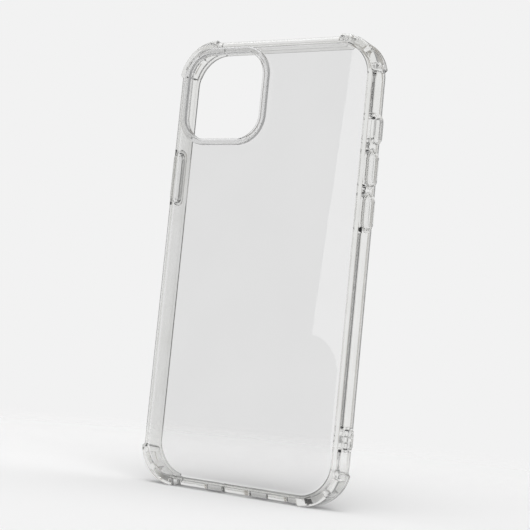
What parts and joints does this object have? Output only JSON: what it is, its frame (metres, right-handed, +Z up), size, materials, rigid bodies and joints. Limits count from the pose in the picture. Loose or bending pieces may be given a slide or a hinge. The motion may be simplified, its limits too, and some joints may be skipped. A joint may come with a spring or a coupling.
{
  "type": "phone case",
  "caption": "Clear shock-absorbing phone cover: hard back sheet in a soft bumper with cushioned corners, camera guard, pressable button covers, switch window, port cut-outs and strap eyelet.",
  "frame": {"origin": "centre of the case's box in X and Y, on the plane that its bottom corner cushions stand on", "axes": "+Z up along the case to its camera end, -Y out of the outer back, +Y towards the screen side, +X to the volume-button side"},
  "size_m": [0.0842, 0.0122, 0.1666],
  "materials": {
    "clear_sheet": "polished",
    "clear_bumper": "gloss",
    "clear_button": "gloss"
  },
  "bodies": {
    "shell": {"back_plate": "clear_sheet", "camera_guard": "clear_sheet", "wall_top": "clear_bumper", "wall_bottom": "clear_bumper", "wall_left": "clear_bumper", "wall_right": "clear_bumper", "corner_cushion_top_left": "clear_bumper", "corner_cushion_top_right": "clear_bumper", "corner_cushion_bottom_left": "clear_bumper", "corner_cushion_bottom_right": "clear_bumper", "switch_guard": "clear_bumper", "strap_eyelet": "clear_bumper"},
    "volume_up": {"button_volume_up": "clear_button"},
    "volume_down": {"button_volume_down": "clear_button"},
    "power": {"button_power": "clear_button"}
  },
  "joints": [
    {"name": "volume_up_press", "type": "slide", "parent": "shell", "child": "volume_up", "axis": [-1, 0, 0], "range_m": [0, 0.0004], "stiffness_N_per_m": 1500},
    {"name": "volume_down_press", "type": "slide", "parent": "shell", "child": "volume_down", "axis": [-1, 0, 0], "range_m": [0, 0.0004], "stiffness_N_per_m": 1500},
    {"name": "power_press", "type": "slide", "parent": "shell", "child": "power", "axis": [1, 0, 0], "range_m": [0, 0.0004], "stiffness_N_per_m": 1500}
  ]
}
